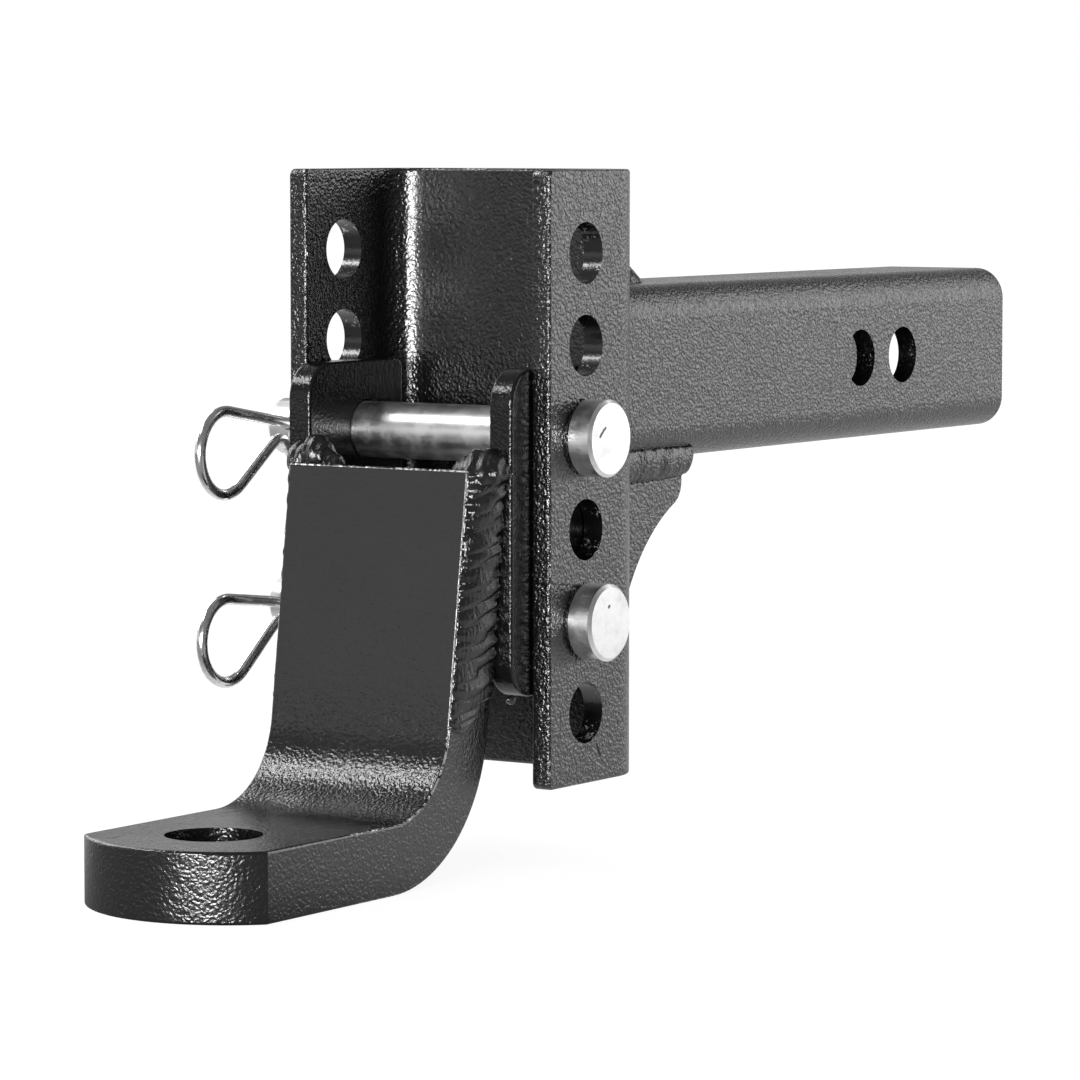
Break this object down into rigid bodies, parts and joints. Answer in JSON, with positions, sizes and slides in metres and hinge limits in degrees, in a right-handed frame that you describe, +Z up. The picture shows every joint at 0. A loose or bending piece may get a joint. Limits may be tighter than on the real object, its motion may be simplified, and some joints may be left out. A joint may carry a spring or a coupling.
{
  "type": "adjustable ball mount",
  "caption": "Height-adjustable tow ball mount: hollow square shank, upright channel with pin holes, bent ball platform held by two headed pins with hairpin clips.",
  "frame": {"origin": "centre of the shank's rear hitch pin hole, on the shank's axis", "axes": "+Y along the shank into the receiver, -Y towards the ball, +Z up, +X towards the pin heads"},
  "size_m": [0.112, 0.4218, 0.1928],
  "materials": {
    "black_powder_coat": "satin, finely wrinkled",
    "black_weld": "gloss, rippled",
    "zinc_plate": "bright zinc plate",
    "spring_wire": "bright plated wire"
  },
  "bodies": {
    "ball_mount": {"shank_tube": "black_powder_coat", "channel": "black_powder_coat", "gusset_rib": "black_powder_coat", "gusset_cheek_left": "black_powder_coat", "gusset_cheek_right": "black_powder_coat", "shank_weld_left": "black_weld", "shank_weld_under": "black_weld", "shank_weld_right": "black_weld", "gusset_cheek_weld_left": "black_weld", "gusset_cheek_weld_right": "black_weld", "gusset_foot_weld_left": "black_weld", "gusset_foot_weld_right": "black_weld", "gusset_rib_weld_left": "black_weld", "gusset_rib_weld_right": "black_weld", "ball_platform": "black_powder_coat", "side_plate_left": "black_powder_coat", "side_plate_right": "black_powder_coat", "platform_weld_left": "black_weld", "platform_weld_right": "black_weld"},
    "upper_pin_body": {"upper_pin": "zinc_plate"},
    "lower_pin_body": {"lower_pin": "zinc_plate"},
    "upper_clip_body": {"upper_clip": "spring_wire"},
    "lower_clip_body": {"lower_clip": "spring_wire"}
  },
  "joints": [
    {"name": "upper_pin_turn", "type": "hinge", "parent": "ball_mount", "child": "upper_pin_body", "pos_m": [0, -0.2118, -0.0144], "axis": [-1, 0, 0], "range_deg": [0, 180]},
    {"name": "lower_pin_turn", "type": "hinge", "parent": "ball_mount", "child": "lower_pin_body", "pos_m": [0, -0.2118, -0.0652], "axis": [1, 0, 0], "range_deg": [0, 180]},
    {"name": "upper_clip_pull", "type": "slide", "parent": "upper_pin_body", "child": "upper_clip_body", "axis": [0, -0.9866, 0.1633], "range_m": [0, 0.036], "deforming": ["upper_clip"]},
    {"name": "lower_clip_pull", "type": "slide", "parent": "lower_pin_body", "child": "lower_clip_body", "axis": [0, -0.9938, 0.1115], "range_m": [0, 0.036], "deforming": ["lower_clip"]}
  ]
}
